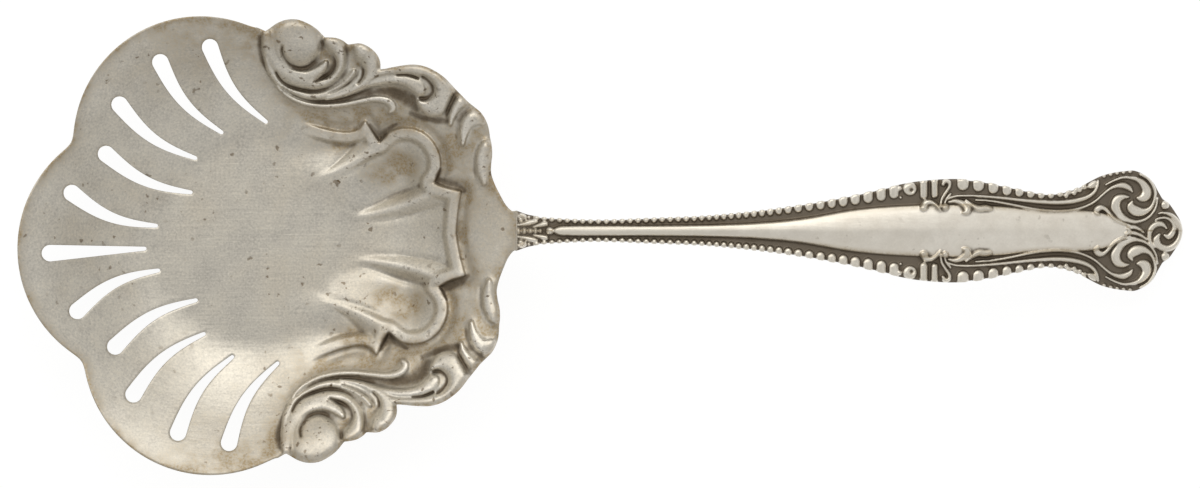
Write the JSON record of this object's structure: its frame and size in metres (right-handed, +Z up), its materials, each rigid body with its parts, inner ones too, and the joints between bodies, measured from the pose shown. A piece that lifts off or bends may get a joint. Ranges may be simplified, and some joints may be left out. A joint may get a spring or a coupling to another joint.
{
  "type": "pierced sugar spoon",
  "caption": "Shell-bowled serving spoon pierced with bowed slots for sifting sugar, with struck scrolls, a beaded handle and a whorl end.",
  "frame": {"origin": "centre of the bowl's flat underside, on which the spoon stands", "axes": "+X from the bowl to the end of the handle, +Z up out of the bowl, +Y across"},
  "size_m": [0.1516, 0.0596, 0.0167],
  "materials": {
    "bowl_silver": "polished sterling silver, worn, with brown tarnish in the hollows",
    "handle_silver": "polished sterling silver, worn, with dark tarnish round the struck ornament",
    "solder": "hard silver solder, dulled"
  },
  "bodies": {
    "root": {"bowl": "bowl_silver", "handle": "handle_silver", "solder_seam": "solder"}
  },
  "joints": []
}
